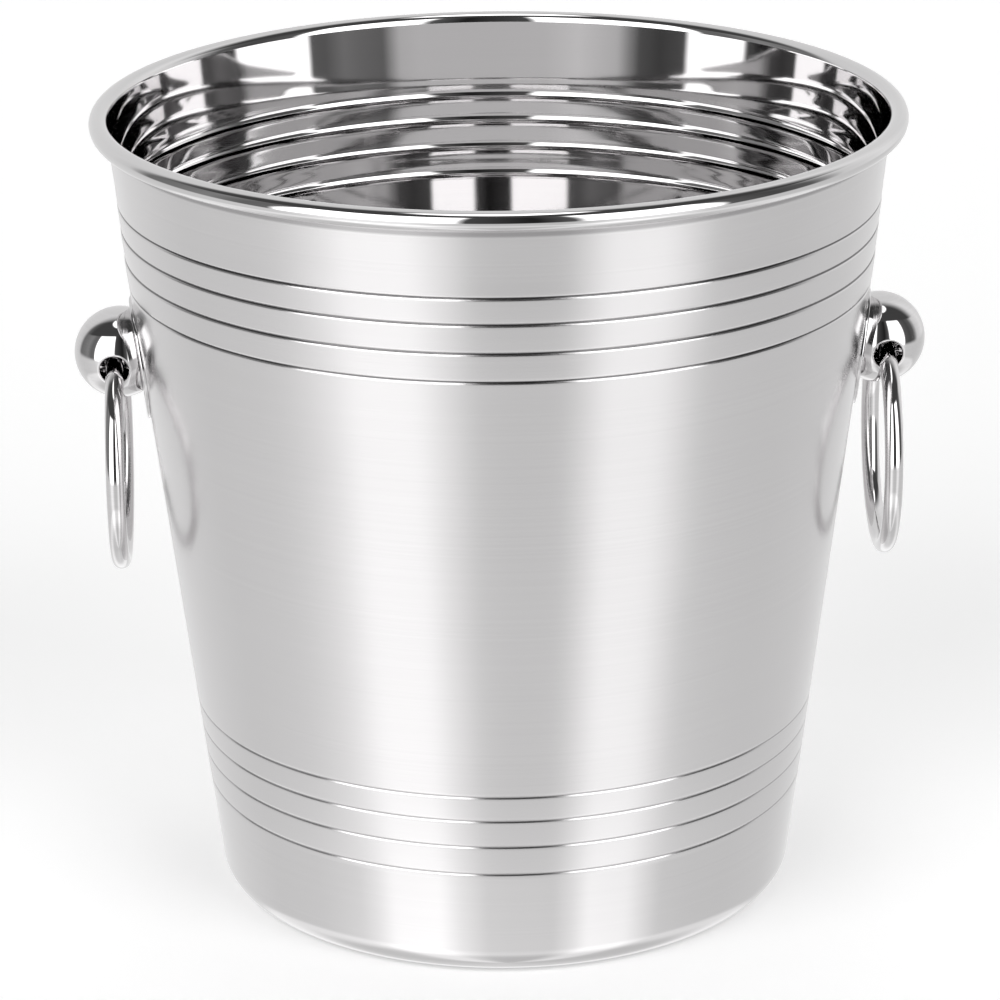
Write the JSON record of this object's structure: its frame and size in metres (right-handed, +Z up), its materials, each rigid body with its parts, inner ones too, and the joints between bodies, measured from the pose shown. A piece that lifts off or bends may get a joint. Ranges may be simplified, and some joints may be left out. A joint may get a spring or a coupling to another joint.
{
  "type": "champagne bucket",
  "caption": "Spun steel ice bucket with grooved bands, a rolled rim and a ring handle hanging from a round knob on each side.",
  "frame": {"origin": "centre of the base, on the surface that the bucket stands on", "axes": "+Z up through the mouth; +X through the right knob and ring; the front is -Y"},
  "size_m": [0.2328, 0.22, 0.221],
  "materials": {
    "satin_steel": "fine satin outside, mirror inside",
    "polished_steel": "mirror polished",
    "plain_steel": "bright zinc-free stainless fastener",
    "seal_rubber": "matte"
  },
  "bodies": {
    "bucket": {"bucket_shell": "satin_steel", "left_knob": "polished_steel", "left_back_plate": "polished_steel", "left_seal": "seal_rubber", "left_washer": "plain_steel", "left_dome_nut": "plain_steel", "right_knob": "polished_steel", "right_back_plate": "polished_steel", "right_seal": "seal_rubber", "right_washer": "plain_steel", "right_dome_nut": "plain_steel"},
    "left_handle": {"left_ring": "polished_steel"},
    "right_handle": {"right_ring": "polished_steel"}
  },
  "joints": [
    {"name": "left_ring_swing", "type": "hinge", "parent": "bucket", "child": "left_handle", "pos_m": [-0.10515, 0, 0.15124], "axis": [0, 1, 0], "range_deg": [-9, 165]},
    {"name": "right_ring_swing", "type": "hinge", "parent": "bucket", "child": "right_handle", "pos_m": [0.10515, 0, 0.15124], "axis": [0, -1, 0], "range_deg": [-9, 165]}
  ]
}
